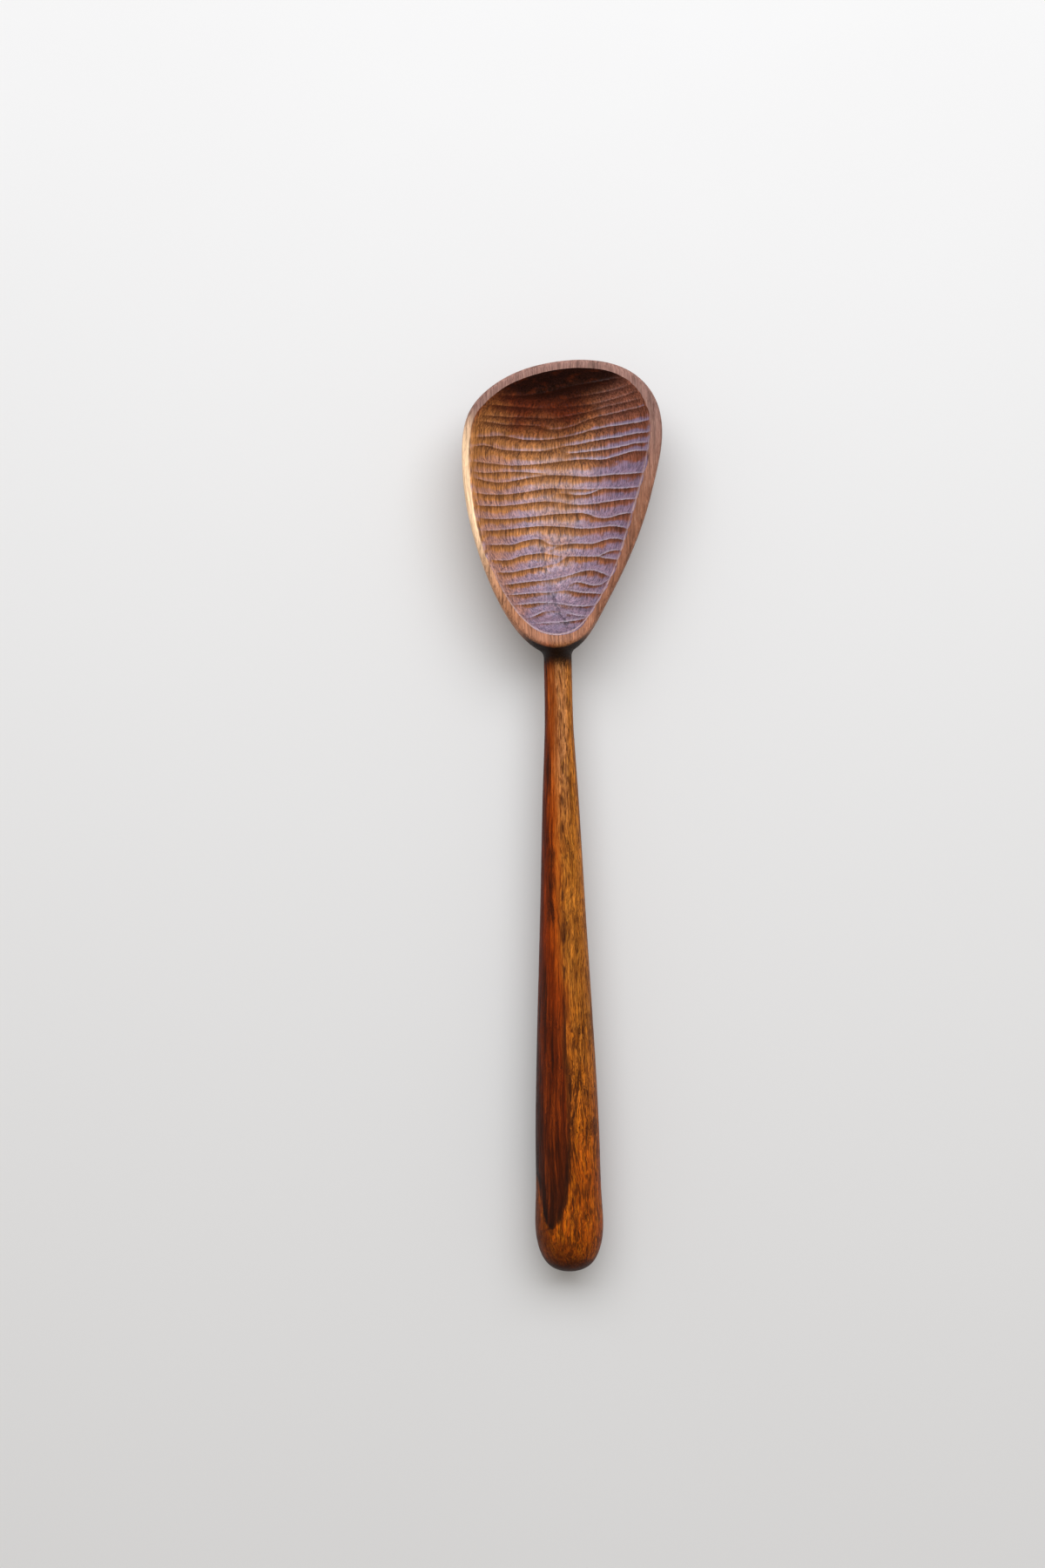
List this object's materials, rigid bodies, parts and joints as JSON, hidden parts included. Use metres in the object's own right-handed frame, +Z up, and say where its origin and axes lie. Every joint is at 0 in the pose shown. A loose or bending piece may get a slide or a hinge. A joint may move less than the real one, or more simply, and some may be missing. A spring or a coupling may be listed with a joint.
{
  "type": "wooden spoon",
  "caption": "Carved wooden cooking spoon: deep egg-shaped bowl with a gouge-fluted hollow, slim neck and long round handle that swells to a domed end.",
  "frame": {"origin": "on the table, under the middle of the spoon's length and width, as it lies with the hollow up", "axes": "+Y from the handle's end to the tip of the bowl, +Z up out of the hollow, +X to the right as the spoon is seen from above with its bowl away from the viewer"},
  "size_m": [0.067, 0.305, 0.025],
  "materials": {
    "oiled_walnut": "satin"
  },
  "bodies": {
    "root": {"spoon": "oiled_walnut"}
  },
  "joints": []
}
